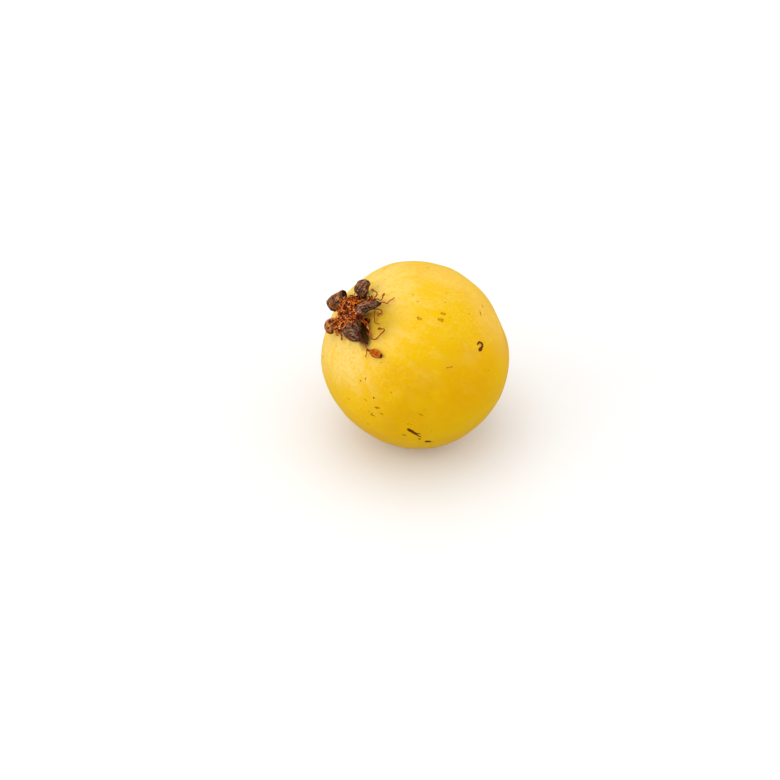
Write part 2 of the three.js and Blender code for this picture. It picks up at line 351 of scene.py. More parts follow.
class Shape:
    """A mesh put together from several closed bodies, with values at its vertices."""

    def __init__(self):
        self.vertices = []
        self.faces = []
        self.values = {}
        self.count = 0

    def add(self, vertices, faces, **values):
        self.vertices.append(vertices)
        self.faces.extend([self.count + i for i in face] for face in faces)
        for name, value in values.items():
            spread = np.broadcast_to(np.asarray(value, float), len(vertices))
            self.values.setdefault(name, []).append(spread)
        self.count += len(vertices)
        return self

    def piece(self, node, slot, material):
        """Makes the object that stands for a CAD node. Gives back its vertices and faces."""
        vertices = np.concatenate(self.vertices)
        mesh = bpy.data.meshes.new(node + "_detail")
        mesh.from_pydata(laid_down(vertices) * MM, [], self.faces)
        mesh.shade_smooth()
        for name, parts in self.values.items():
            layer = mesh.attributes.new(name, "FLOAT", "POINT")
            layer.data.foreach_set("value", np.concatenate(parts).astype(np.float32))
        mesh.materials.append(material)
        made = into_scene(node + "_detail", mesh)
        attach(made, "root")
        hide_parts(node)
        return vertices, self.faces


# ---- material helpers


def rgb(red, greenish_and_shaded, blue):
    """A colour as seen on screen, 0 to 255, as Blender's linear colour."""
    shares = [value / 255 for value in (red, greenish_and_shaded, blue)]
    linear = [s / 12.92 if s <= 0.04045 else ((s + 0.055) / 1.055) ** 2.4 for s in shares]
    return (*linear, 1)


STROKE_FADE = 1.45  # width of a whole stroke, with its faint edge, as a share of its stated width
STROKE_DEPTH = 0.8  # how far it reaches in and out of the skin, at the least


class Look:
    """Builds one material. Its methods add nodes, and `colour` is the colour so far."""

    def __init__(self, name, **surface):
        self.material = bpy.data.materials.new(name)
        self.material.use_nodes = True
        self.tree = self.material.node_tree
        self.surface = self.tree.nodes["Principled BSDF"]
        for socket, value in surface.items():
            self.surface.inputs[socket.replace("_", " ")].default_value = value
        # Every texture is laid out in the fruit's own frame.
        table = {
            "Vector": self.add("TexCoord").outputs["Object"],
            "Location": Vector(CENTRE) * MM,
            "Rotation": Matrix(LAID_DOWN).to_euler(),
        }
        self.place = self.add("Mapping", table, vector_type="TEXTURE").outputs[0]

    def add(self, kind, inputs=None, **settings):
        node = self.tree.nodes.new("ShaderNode" + kind)
        for name, value in settings.items():
            setattr(node, name, value)
        for socket, value in (inputs or {}).items():
            self.plug(value, node.inputs[socket])
        return node

    def plug(self, value, socket):
        if isinstance(value, bpy.types.NodeSocket):
            self.tree.links.new(value, socket)
        else:
            socket.default_value = value

    def math(self, operation, first, second=0.0):
        return self.add("Math", {0: first, 1: second}, operation=operation).outputs[0]

    def times(self, first, second):
        return self.math("MULTIPLY", first, second)

    def plus(self, first, second):
        return self.math("ADD", first, second)

    def vector(self, operation, first, second=(0, 0, 0), scale=1.0):
        inputs = {0: first, 1: second, 3: scale}
        return self.add("VectorMath", inputs, operation=operation).outputs[0]

    def ramp(self, value, low, high, to_low=0.0, to_high=1.0):
        """Goes smoothly from to_low at low to to_high at high."""
        ends = {"Value": value, "From Min": low, "From Max": high}
        ends |= {"To Min": to_low, "To Max": to_high}
        return self.add("MapRange", ends, interpolation_type="SMOOTHSTEP").outputs["Result"]

    def mix(self, share, first, second):
        ends = {0: share, 6: first, 7: second}
        return self.add("Mix", ends, data_type="RGBA").outputs[2]

    def mix_value(self, share, first, second):
        ends = {0: share, 2: first, 3: second}
        return self.add("Mix", ends, data_type="FLOAT").outputs[0]

    def noise(self, size, detail=2.0, rough=0.5, warp=0.0, place=None, output="Fac"):
        """Noise whose swells are about size mm across, mostly between 0.3 and 0.7."""
        inputs = {"Vector": place or self.place, "Scale": 1 / (size * MM), "Detail": detail}
        inputs |= {"Roughness": rough, "Distortion": warp}
        return self.add("TexNoise", inputs).outputs[output]

    def value(self, name):
        """A value that the mesh holds at its vertices."""
        return self.add("Attribute", attribute_name=name).outputs["Fac"]

    def shifted(self, amount, size):
        """The place on the surface, pushed about by noise, for ragged edges."""
        push = self.vector("SUBTRACT", self.noise(size, output="Color"), (0.5, 0.5, 0.5))
        push = self.vector("SCALE", push, scale=amount * MM)
        return self.vector("ADD", self.place, push)

    def stroke(self, start, end, width, soft, place=None):
        """1 along a stroke over the skin from start to end, down to 0 at its edge."""
        a, b = over_skin(*start), over_skin(*end)
        width = width * STROKE_FADE
        out = unit(a + b)
        run = b - a
        length = np.linalg.norm(run)
        along = unit(run if length > 0 else np.cross(out, [0.3, 0.5, 0.8]))
        axes = Matrix([along, np.cross(out, along), out]).transposed()
        inputs = {
            "Vector": place or self.place,
            "Location": Vector((a + b) / 2 * MM),
            "Rotation": axes.to_euler(),
            "Scale": Vector(((length + width) / 2, width / 2, max(width, STROKE_DEPTH))) * MM,
        }
        mapped = self.add("Mapping", inputs, vector_type="TEXTURE").outputs[0]
        # A vector's length in place of the gradient would overflow Cycles' stack: a black skin.
        within = self.add("TexGradient", {"Vector": mapped}, gradient_type="SPHERICAL")
        return self.ramp(within.outputs["Fac"], 0.0, 1.0 - soft)

    def strokes(self, marks, soft, place=None):
        """The union of several strokes."""
        union = None
        for mark in marks:
            made = self.stroke(*mark, soft, place)
            union = made if union is None else self.math("MAXIMUM", union, made)
        return union

    def dots(self, spacing, smallest, biggest, shown):
        """Small round dots in a share of the cells (shown): 1 in the middle of each dot."""
        cells = self.add("TexVoronoi", {"Vector": self.place, "Scale": 1 / (spacing * MM)})
        chance = self.add("SeparateColor", {"Color": cells.outputs["Color"]})
        picked = self.math("LESS_THAN", chance.outputs[0], shown)
        size = self.ramp(chance.outputs[1], 0, 1, smallest / spacing, biggest / spacing)
        within = self.math("DIVIDE", cells.outputs["Distance"], size)
        return self.times(picked, self.ramp(within, 1.0, 0.4))

    def bump(self, height, depth, normal=None):
        """Relief depth mm deep where height goes from 0 to 1."""
        inputs = {"Height": height, "Distance": depth * MM, "Strength": 1.0}
        node = self.add("Bump", inputs)
        if normal is not None:
            self.plug(normal, node.inputs["Normal"])
        return node.outputs["Normal"]

    def paint(self, share, tone, strength=1.0):
        """Mixes a tone into the colour so far, by a share times a strength."""
        if strength != 1.0:
            share = self.times(share, strength)
        self.colour = self.mix(share, self.colour, tone)

    def layer(self, field, low, high, tone, most=1.0, strength=1.0):
        """Paints a tone by how far a field has gone from low to high, by a share of most there."""
        self.paint(self.ramp(field, low, high, 0, most), tone, strength)

    def finish(self, roughness, normal):
        self.plug(self.colour, self.surface.inputs["Base Color"])
        self.plug(roughness, self.surface.inputs["Roughness"])
        self.plug(normal, self.surface.inputs["Normal"])
        return self.material


# ---- the skin


def dot(polar, longitude, width):
    return (polar, longitude), (polar, longitude), width


# Marks on the skin, each a stroke: start and end as (polar, longitude), and width in mm. A scratch
# script made most of these angles from readings off the photograph, see report.md.
SCABS = [
    ((89.7, 146.0), (90.4, 148.0), 0.4),
    ((90.4, 148.0), (92.8, 148.3), 0.38),
    ((92.8, 148.3), (93.9, 146.9), 0.46),
    ((93.9, 146.9), (93.2, 145.1), 0.46),
    ((93.4, 144.9), (92.8, 143.8), 0.72),
    ((90.2, 73.9), (93.6, 74.2), 0.78),
    ((93.6, 74.3), (96.4, 74.2), 0.66),
    ((95.4, 75.0), (98.2, 76.2), 0.26),
    ((96.0, 73.7), (101.2, 74.1), 0.32),
    ((101.2, 71.9), (102.6, 71.4), 0.26),
    ((107.8, 72.3), (109.1, 72.8), 0.8),
    dot(59.3, 73.0, 0.3),
]
HEALED = [
    ((90.9, 147.2), (92.6, 146.2), 0.5),
    ((109.8, 72.5), (112.4, 75.0), 0.4),
    ((111.0, 173.0), (121.0, 160.0), 0.5),
]
SPOTS = [
    ((48.1, 144.0), (50.3, 143.5), 0.6),
    ((61.3, 153.4), (62.6, 153.6), 0.66),
    ((60.4, 148.1), (62.3, 148.5), 0.7),
]
SMEARS = [
    ((88.4, 175.9), (89.9, 174.0), 0.3),
    ((86.1, 169.4), (87.7, 165.2), 0.34),
    dot(90.5, 168.5, 0.3),
    ((64.9, 68.4), (66.9, 71.6), 0.42),
    ((65.4, 70.4), (66.4, 69.2), 0.34),
    ((68.5, 61.2), (70.8, 63.3), 0.4),
    ((69.5, 60.8), (67.3, 63.9), 0.26),
    ((69.7, 68.8), (71.7, 69.6), 0.34),
    dot(66.2, 61.9, 0.3),
    dot(75.6, 51.5, 0.4),
    ((83.5, 88.5), (87.9, 89.3), 0.24),
    ((91.7, 67.2), (93.8, 67.7), 0.4),
    ((93.0, 66.6), (94.2, 68.6), 0.24),
    ((77.4, 122.3), (78.6, 123.5), 0.26),
    ((78.6, 123.5), (80.6, 125.5), 0.22),
    ((46.6, 69.9), (46.9, 70.6), 0.36),
    ((46.4, 76.4), (47.9, 75.1), 0.26),
    ((55.1, 48.4), (56.4, 50.4), 0.24),
    ((57.0, 64.6), (59.5, 66.6), 0.24),
    dot(44.9, 96.0, 0.3),
    dot(103.2, 134.9, 0.2),
    dot(105.4, 136.5, 0.24),
]
SPECKS = [
    dot(42.3, 164.8, 0.4),
    dot(45.6, 157.9, 0.34),
    dot(61.7, 162.6, 0.34),
    dot(62.2, 171.0, 0.34),
    dot(84.7, 93.3, 0.3),
    ((86.1, 77.0), (86.1, 77.9), 0.34),
    ((87.5, 78.4), (87.9, 78.9), 0.3),
    dot(100.7, 82.8, 0.3),
    dot(61.8, 142.3, 0.3),
]
HIDDEN_MARKS = 16


def hidden_marks():
    """Short scratches on the side of the fruit that faces away, of the same kinds."""
    random = np.random.default_rng(11)
    marks = []
    for _ in range(HIDDEN_MARKS):
        polar, longitude = random.uniform(35, 150), random.uniform(190, 400)
        turn, length = random.uniform(0, 2 * math.pi), random.uniform(0, 4)
        end = (polar + length * math.cos(turn), longitude + length * math.sin(turn))
        marks.append(((polar, longitude), end, random.uniform(0.2, 0.5)))
    return marks


def skin_look():
    look = Look(
        "guava_skin",
        Subsurface_Weight=0.1,
        Subsurface_Radius=(1.0, 0.45, 0.05),
        Subsurface_Scale=0.0012,
        Specular_IOR_Level=0.04,
        Sheen_Weight=0.07,
        Sheen_Roughness=0.3,
    )
    golden, deep = rgb(242, 194, 0), rgb(236, 180, 0)
    pale, cream = rgb(249, 204, 12), rgb(252, 221, 130)

    # Broad tones: golden, deeper here and paler there, with painted highlights and painted shade
    # among them.
    broad = look.noise(15, detail=3, rough=0.55)
    look.colour = look.mix(look.ramp(broad, 0.4, 0.66), golden, deep)
    patches = look.noise(6.5, detail=3, warp=0.6)
    look.layer(patches, 0.5, 0.74, pale, 0.6)
    outwards = look.add("SeparateXYZ", {0: look.vector("NORMALIZE", look.place)}).outputs
    nearness = look.plus(outwards["Z"], look.times(patches, 0.16))
    look.layer(nearness, 0.66, 1.02, cream, 0.66)
    # A pale patch left of the calyx: partly the skin's own paleness, partly a painted highlight.
    pale_patch_and_highlight = look.stroke((30, 48), (40, 62), 10, 0.1)
    look.paint(pale_patch_and_highlight, cream, 0.55)
    # Painted highlight: cream along the top and right edges of the fruit as it lies.
    painted_edge_highlight = [((52, 196), (80, 186), 12), ((80, 184), (110, 160), 11)]
    look.paint(look.strokes(painted_edge_highlight, 0.1), rgb(253, 208, 104), 0.5)
    # Painted light: a brighter gold over the lower left.
    painted_light_low_left = look.stroke((56, 72), (70, 50), 12, 0.1)
    look.paint(painted_light_low_left, rgb(254, 203, 4), 0.7)
    # Painted shade: a deeper orange-gold over the lower right.
    painted_shade_low_right = look.stroke((97, 110), (103, 132), 14, 0.1)
    look.paint(painted_shade_low_right, rgb(234, 172, 0), 0.75)
    # Skin a little greener beside the calyx, darkened further as painted shade cast by the calyx.
    greenish_and_shaded = look.stroke((22, 120), (29, 130), 9, 0.2)
    look.paint(greenish_and_shaded, rgb(200, 160, 10), 0.8)

    # Faint rays out from the calyx.
    paleness = look.ramp(nearness, 0.25, 0.95, 0.06, 0.7)
    mottled = look.stroke((70, 172), (82, 148), 13, 0.1)
    paleness = look.math("MAXIMUM", paleness, look.times(mottled, 0.6))
    paleness = look.mix_value(greenish_and_shaded, paleness, 0.1)
    sideways = look.add("CombineXYZ", {"X": outwards["X"], "Y": outwards["Y"]}).outputs[0]
    sideways = look.vector("SCALE", look.vector("NORMALIZE", sideways), scale=7.0)
    down = look.times(look.math("ARCCOSINE", outwards["Z"]), 3.5)
    down = look.add("CombineXYZ", {"Z": down}).outputs[0]
    polar_map = look.vector("ADD", sideways, down)
    rays = look.noise(1 / MM, detail=3, rough=0.55, warp=0.3, place=polar_map)
    look.layer(rays, 0.46, 0.68, rgb(252, 214, 118), 0.75, paleness)
    look.layer(rays, 0.5, 0.32, rgb(246, 194, 8), 0.8, paleness)

    # Fine mottle of the rind, with pale flecks and orange dots.
    mottle = look.noise(0.5, detail=4, rough=0.66, warp=0.4)
    look.layer(mottle, 0.48, 0.68, rgb(249, 202, 92), 1, paleness)
    flecks = look.noise(0.34, detail=1, warp=0.6)
    look.layer(flecks, 0.58, 0.8, cream, 0.5, paleness)
    grain = look.noise(0.7, detail=4, rough=0.66)
    look.layer(grain, 0.48, 0.62, rgb(243, 188, 0), 0.5)
    look.paint(look.dots(2.1, 0.1, 0.24, 0.45), rgb(226, 140, 8), 0.75)
    look.paint(look.dots(3.7, 0.12, 0.3, 0.3), rgb(196, 128, 10), 0.8)

    # Crumbs beside the calyx, and a painted shadow below it: dark brown in the hollow beside the
    # front sepal.
    crumbs = look.times(look.dots(0.8, 0.1, 0.24, 0.4), look.ramp(outwards["Z"], 0.86, 0.95))
    look.paint(crumbs, rgb(170, 90, 20), 0.8)
    painted_hollow_shadow = look.stroke((17.5, 110), (29, 93.5), 3.2, 0.4, look.shifted(1.2, 1.5))
    look.paint(painted_hollow_shadow, rgb(56, 24, 6), 0.95)

    # Healed scratches and spots, then the dark scabs.
    ragged = look.shifted(0.34, 0.4)
    smears = look.strokes(SMEARS + hidden_marks(), 0.3, ragged)
    look.paint(smears, rgb(148, 80, 4), 0.8)
    specks = look.strokes(SPECKS, 0.3, ragged)
    look.paint(specks, rgb(204, 100, 8), 0.75)
    spots = look.strokes(SPOTS, 0.3, look.shifted(0.7, 0.6))
    rim = look.ramp(look.noise(0.5), 0.42, 0.56, 0.35, 0.95)
    look.layer(spots, 0.0, 0.4, rgb(176, 92, 4), 1, rim)
    look.layer(spots, 0.4, 0.95, rgb(196, 160, 52), 0.7)
    healed = look.strokes(HEALED, 0.3, ragged)
    look.paint(healed, rgb(206, 142, 84), 0.85)
    scabs = look.strokes(SCABS, 0.75, ragged)
    scab_tone = look.mix(look.ramp(look.noise(0.3), 0.4, 0.62), rgb(34, 8, 8), rgb(112, 40, 16))
    look.paint(scabs, scab_tone, 0.95)

    # The corky stem scar.
    scar = look.stroke(*dot(180, 0, 2.5 * STEM_SCAR), 0.72, look.shifted(0.9, 1.1))
    cork = look.ramp(look.noise(0.5, detail=4), 0.38, 0.64)
    cork = look.mix(cork, rgb(92, 62, 36), rgb(164, 124, 76))
    look.paint(scar, cork)

    roughness = look.ramp(look.noise(1.1, detail=3), 0.3, 0.7, 0.38, 0.5)
    roughness = look.mix_value(look.math("MAXIMUM", scar, scabs), roughness, 0.75)
    normal = look.bump(mottle, 0.03)
    return look.finish(roughness, normal)


def cube_sphere(cells):
    """Unit vectors and outward quads of a sphere with cells x cells faces on each of six sides."""
    edge = np.tan(np.linspace(-math.pi / 4, math.pi / 4, cells + 1))
    across, down = np.meshgrid(edge, edge)
    points = []
    for axis in range(3):
        for sign in (1, -1):
            side = np.empty((cells + 1, cells + 1, 3))
            side[..., axis] = sign
            side[..., (axis + 1) % 3] = across * sign
            side[..., (axis + 2) % 3] = down
            points.append(side.reshape(-1, 3))
    corner = np.arange(cells * (cells + 1)).reshape(cells, cells + 1)[:, :-1].reshape(-1)
    quad = np.stack([corner, corner + 1, corner + cells + 2, corner + cells + 1], -1)
    per_side = (cells + 1) ** 2
    faces = np.concatenate([quad + side * per_side for side in range(6)])
    keys = np.round(np.concatenate(points) * 1e6).astype(np.int64)
    _, first, merged = np.unique(keys, axis=0, return_index=True, return_inverse=True)
    return unit(np.concatenate(points)[first]), merged.reshape(-1)[faces].tolist()


def skin_relief(units):
    """Height of the rind above the smooth skin."""
    polar = np.degrees(np.arccos(np.clip(units[:, 2], -1, 1)))
    points = units * FRUIT_RADIUS
    relief = np.zeros(len(units))
    for seed, (height, size, octaves) in enumerate(RIND, start=1):
        relief += height * ripple(points, size, seed, octaves)
    # Creases run out from the calyx, deepest beside it.
    round_axis = unit(units[:, :2] + 1e-9)
    creases = ripple(round_axis * 7.5, 2, seed=4)
    relief += PUCKER * creases * smoothstep(polar, 11, 16) * (1 - smoothstep(polar, 18, 40))
    relief += COLLAR * bell(polar, *COLLAR_PLACE)
    relief -= SEAT_DROP * (1 - smoothstep(polar, SEAT_EDGE - SEAT_SLOPE, SEAT_EDGE))
    # The stem scar: a sunk disc with a swollen edge, puckered round it.
    from_scar = np.radians(180 - polar) * FRUIT_RADIUS
    relief += SCAR_LIP * bell(from_scar, STEM_SCAR + 0.25, 0.35)
    relief -= SCAR_DEPTH * (1 - smoothstep(from_scar, STEM_SCAR - 0.5, STEM_SCAR))
    relief += SCAR_PUCKER * creases * bell(from_scar, STEM_SCAR + 1.2, 1.6)
    return relief


def rest_on_table(points):
    """Flattens what would lie below the table, with a soft edge to the flat."""
    lying = laid_down(points)
    height = lying[:, 2]
    lying[:, 2] = (height + np.sqrt(height**2 + FLAT_EDGE**2)) / 2
    return (lying - CENTRE) @ LAID_DOWN


def make_skin():
    units, faces = cube_sphere(SKIN_CELLS)
    points = units * (skin_radius(units) + skin_relief(units))[:, None]
    return Shape().add(rest_on_table(points), faces).piece("fruit", "skin", skin_look())


# ---- sepals and petal


def middle_line(spec, along):
    """Where the middle of a sheet has got to at shares of its length, and its slope there."""
    steps = 400
    fine = np.linspace(0, 1, steps + 1)
    slope = np.radians(spec["rise"] + spec["bend"] * (1 - (1 - fine) ** spec["early"]))
    halfway = (slope[1:] + slope[:-1]) / 2
    step = spec["length"] / steps
    x = np.concatenate([[0], np.cumsum(np.cos(halfway))]) * step
    z = np.concatenate([[0], np.cumsum(np.sin(halfway))]) * step
    before = np.minimum(along, 0) * spec["length"]  # the stretch before the start runs straight
    here = np.interp(along, fine, slope)
    x_here = np.interp(along, fine, x) + before * math.cos(slope[0])
    z_here = np.interp(along, fine, z) + before * math.sin(slope[0])
    return x_here, z_here, here


def outline(along, spec):
    """Half-width at shares of the length, as a share of the greatest half-width."""
    widening = spec["foot"] + (1 - spec["foot"]) * smoothstep(along, 0, LEVEL)
    inside = 1 - np.clip(along, 0, 1) ** spec["blunt"]
    tip = spec.get("tip", TIP_SHARE)
    return widening * (tip + (1 - tip) * inside**0.6)


def curled_sheet(spec, thickness, claw, seed, relief=1.0):
    """A sheet that follows its middle line with its margins rolled under, ribbed and ragged.

    claw is how far in mm it goes on before its start. Gives vertices, faces and values.
    """
    edge_to_edge = np.sin(np.linspace(-math.pi / 2, math.pi / 2, SHEET_ACROSS))
    loop = np.concatenate([edge_to_edge, edge_to_edge[-2:0:-1]])
    under = np.concatenate([np.zeros(SHEET_ACROSS), np.ones(SHEET_ACROSS - 2)])
    along, across = np.meshgrid(
        np.linspace(-claw / spec["length"], 1, SHEET_ALONG), loop, indexing="ij"
    )
    under = np.broadcast_to(under, across.shape)
    half_width = spec["width"] / 2 * outline(along, spec)
    flat = np.stack([along * spec["length"], across * half_width], -1)

    # Ragged margins and tip.
    frayed = 1 + relief * MARGIN_FRAY * ripple(flat[..., :1], 2.2, seed, octaves=3) * across**2
    frayed_tip = relief * TIP_FRAY * ripple(across[..., None], 0.9, seed + 1)
    reach = along * (1 + frayed_tip * (along > 0))
    x, z, slope = middle_line(spec, np.minimum(reach, 1))
    rolled = BASE_ROLL + (1 - BASE_ROLL) * smoothstep(along, 0, LEVEL)
    half_roll = math.radians(spec["roll"]) / 2 * rolled
    radius = half_width / half_roll
    angle = across * half_roll * frayed

    # Thin at the margins, with ribs along it, swells over it and wrinkles across it.
    body = np.minimum(thickness, 1.3 * radius) * np.sqrt(1 - np.abs(across) ** 6)
    body = body * (0.62 + 0.38 * (1 - across**2)) * (1 - 0.5 * smoothstep(along, 0.85, 1))
    sway = ripple(flat, 3.5, seed + 2)
    ribs = np.sin(2 * math.pi * (across * half_width + 0.16 * sway) / RIB_SPACING)
    swells = ripple(flat + 9 * under[..., None], 1.7, seed + 3, octaves=3)
    wrinkles = ripple(flat * [1, 0.3], 0.8, seed + 4)
    height = RIB_DEPTH * ribs + SWELL_DEPTH * swells + WRINKLE_DEPTH * wrinkles
    height = relief * height * (1 - 0.6 * under) * np.minimum(1, radius / 0.8)
    wave = relief * WAVE_DEPTH * ripple(flat, 4, seed + 5) * smoothstep(along, 0, 0.3)
    offset = wave + np.where(under > 0, -body / 2 - height, body / 2 + height)

    up = np.stack([-np.sin(slope), np.zeros_like(slope), np.cos(slope)], -1)
    outwards = up * np.cos(angle)[..., None] + np.sin(angle)[..., None] * np.array([0, -1, 0])
    points = np.stack([x, np.zeros_like(x), z], -1) - up * radius[..., None]
    points = points + outwards * (radius + offset)[..., None]

    loops = loop.size
    faces = strip_faces(SHEET_ALONG, loops)
    last = (SHEET_ALONG - 1) * loops
    for i in range(SHEET_ACROSS - 1):
        foot = [i, i + 1, -(i + 1) % loops, -i % loops]
        tip = [last + corner for corner in reversed(foot)]
        faces += [list(dict.fromkeys(foot)), list(dict.fromkeys(tip))]
    values = {"across": across, "along": along, "under": under, "rib": ribs}
    values = {name: value.reshape(-1) for name, value in values.items()}
    return points.reshape(-1, 3), faces, values


def sepal_look(name, grey, rust, dark_tip, warmth):
    look = Look(name, Specular_IOR_Level=0.15)
    soot = rgb(20, 9, 7)
    along, across = look.value("along"), look.value("across")
    blotches = look.noise(1.6, detail=5, rough=0.62)
    look.colour = look.mix(look.ramp(blotches, 0.36, 0.64), rgb(56, 27, 16), rgb(150, 88, 50))
    look.paint(warmth, rgb(244, 152, 66))

    # Fibres that run from foot to tip, lighter on the ribs and dark between them.
    sheet = {"X": look.times(across, 9.0), "Y": look.times(along, 2.4)}
    sheet["Z"] = look.times(blotches, 2.5)
    sheet = look.add("CombineXYZ", sheet).outputs[0]
    fibres = look.noise(1 / MM, detail=5, rough=0.68, place=sheet)
    ribs = look.times(look.value("rib"), 0.05)
    fibres = look.plus(fibres, ribs)
    look.layer(fibres, 0.5, 0.67, rgb(222, 158, 106), 0.88)
    look.layer(fibres, 0.53, 0.35, soot, 0.92)

    bloom = look.noise(0.8, detail=5, rough=0.7)
    look.layer(bloom, 0.5, 0.66, rgb(168, 152, 142), grey)
    flecks = look.noise(0.42, detail=4, rough=0.6, warp=0.6)
    look.layer(flecks, 0.54, 0.68, rgb(228, 122, 36), rust)
    shade = look.noise(0.9, detail=5, rough=0.7)
    look.layer(shade, 0.56, 0.36, soot, 0.85)
    tip = look.ramp(look.plus(along, look.times(bloom, 0.2)), 0.86, 1.1)
    look.paint(tip, rgb(38, 14, 20), dark_tip)
    sideways = look.math("ABSOLUTE", across)
    # Soot-dark towards the margins.
    near_margin = look.plus(sideways, look.times(blotches, 0.3))
    look.layer(near_margin, 0.86, 1.06, soot, 0.75)
    look.layer(sideways, 0.95, 0.985, rgb(170, 96, 50), 0.6)
    look.paint(look.value("under"), rgb(60, 34, 14), 0.5)
    normal = look.bump(look.noise(0.4, detail=4, rough=0.65), 0.08)
    return look.finish(look.ramp(bloom, 0.3, 0.7, 0.55, 0.85), normal)


# For each sepal: its grey bloom, its rusty flecks, how dark its tip is and how golden it is.
SEPAL_TONES = {
    "sepal_far": (0.45, 1.0, 0.5, 0.25),
    "sepal_low": (0.3, 1.0, 0.8, 0.85),
    "sepal_front": (0.75, 0.55, 0.4, 0.0),
    "sepal_pointed": (0.45, 0.35, 0.95, 0.0),
    "sepal_upper": (0.9, 0.3, 0.6, 0.0),
}
SEPAL_CLAW = 1.0  # how far a sepal goes on into the ring


def make_sepals():
    made = []
    for number, (name, spec) in enumerate(SEPALS.items()):
        seed = 20 + 10 * number
        points, faces, values = curled_sheet(spec, SEPAL_THICKNESS, SEPAL_CLAW, seed)
        turn = turn_about("Z", spec["at"] + spec["yaw"]) @ turn_about("X", spec["bank"])
        base = direction(90, spec["at"]) * spec["reach"] + [0, 0, spec["height"]]
        shape = Shape().add(points @ turn.T + base, faces, **values)
        made.append(shape.piece(name, "sepal", sepal_look(name + "_dry", *SEPAL_TONES[name])))
    return made


def petal_look():
    look = Look(
        "withered_petal_dry",
        Subsurface_Weight=0.35,
        Subsurface_Radius=(1.0, 0.4, 0.1),
        Subsurface_Scale=0.0008,
        Specular_IOR_Level=0.08,
    )
    along, across = look.value("along"), look.value("across")
    patches = look.noise(0.8, detail=3)
    look.colour = look.mix(look.ramp(patches, 0.38, 0.64), rgb(170, 74, 2), rgb(212, 120, 8))
    wander = look.times(look.math("SUBTRACT", look.noise(1.0), 0.5), 5.0)
    veins = look.math("SINE", look.plus(look.times(across, 11.0), wander))
    look.layer(veins, 0.55, 1.0, rgb(132, 56, 16), 0.6)
    rim = look.ramp(look.math("ABSOLUTE", across), 0.72, 0.98, 0, 0.8)
    look.paint(rim, rgb(128, 52, 14))
    tip = look.ramp(look.plus(along, look.times(patches, 0.15)), 0.86, 1.0)
    look.paint(tip, rgb(72, 26, 14))
    foot = look.ramp(along, 0.22, 0.0, 0, 0.8)
    look.paint(foot, rgb(104, 40, 18))
    normal = look.bump(look.ramp(veins, 0.2, 1.0), 0.06)
    normal = look.bump(look.noise(0.3, detail=3), 0.06, normal)
    return look.finish(look.ramp(patches, 0.3, 0.7, 0.4, 0.6), normal)


def make_petal():
    thickness = PETAL_THICKNESS * PETAL_SHARE
    points, faces, values = curled_sheet(PETAL, thickness, claw=0.5, seed=80, relief=0.5)
    centre = over_skin(PETAL["polar"], PETAL["longitude"], PETAL["lift"])
    outwards = unit(centre)
    away = direction(PETAL["polar"] + 90, PETAL["longitude"])
    heading = Matrix.Rotation(math.radians(PETAL["heading"]), 3, Vector(outwards))
    away = np.array(heading @ Vector(away))
    axes = np.stack([away, np.cross(outwards, away), outwards])
    shape = Shape().add(points @ axes + centre, faces, **values)
    shape.piece("withered_petal", "petal", petal_look())


# ---- calyx ring

RING_AROUND = 150
RING_MESH = 0.16  # from one row of points to the next
RING_ROUGH = 0.07
RING_SCALLOPS = (0.1, 0.16)  # how far its edge swells out and up


def ring_look():
    look = Look("calyx_ring_dry", Specular_IOR_Level=0.15)
    blotches = look.noise(0.8, detail=4, rough=0.6)
    look.colour = look.mix(look.ramp(blotches, 0.38, 0.62), rgb(40, 22, 16), rgb(96, 54, 34))
    dust = look.noise(0.3, detail=3)
    look.layer(dust, 0.54, 0.7, rgb(176, 92, 38), 0.7)
    normal = look.bump(look.noise(0.5, detail=5, rough=0.7), 0.3)
    return look.finish(look.ramp(blotches, 0.3, 0.7, 0.7, 0.9), normal)


def make_ring():
    foot, dish = RING_TOP - RING_DEPTH, RING_TOP - RING_HOLLOW
    inner = RING_RADIUS - RING_RIM
    corners = [(0, foot), (RING_RADIUS, foot), (RING_RADIUS, RING_TOP)]
    corners += [(inner, RING_TOP), (inner, dish), (0, dish)]
    profile = [corners[0]]
    for (r0, h0), (r1, h1) in zip(corners, corners[1:]):
        steps = max(2, round(math.hypot(r1 - r0, h1 - h0) / RING_MESH))
        shares = np.arange(1, steps + 1) / steps
        profile += [(r0 + (r1 - r0) * s, h0 + (h1 - h0) * s) for s in shares]
    points, faces = lathe(profile, RING_AROUND)
    radius = np.linalg.norm(points[:, :2], axis=1)
    out = points * [1, 1, 0] / np.maximum(radius, 0.1)[:, None]
    rough = ripple(points, 1.3, seed=90, octaves=3)
    scallops = ripple(out[:, :2] * 5, 2.4, seed=91)
    top = smoothstep(points[:, 2], foot + 0.3, RING_TOP)
    swell_out, swell_up = RING_SCALLOPS
    at_rim = smoothstep(radius, inner - 0.5, RING_RADIUS)
    points = points + out * (RING_ROUGH * rough + swell_out * scallops * top)[:, None]
    points[:, 2] += (RING_ROUGH * rough + swell_up * scallops * at_rim) * top
    return Shape().add(points, faces).piece("calyx_ring", "calyx", ring_look())


# ---- stamens and style


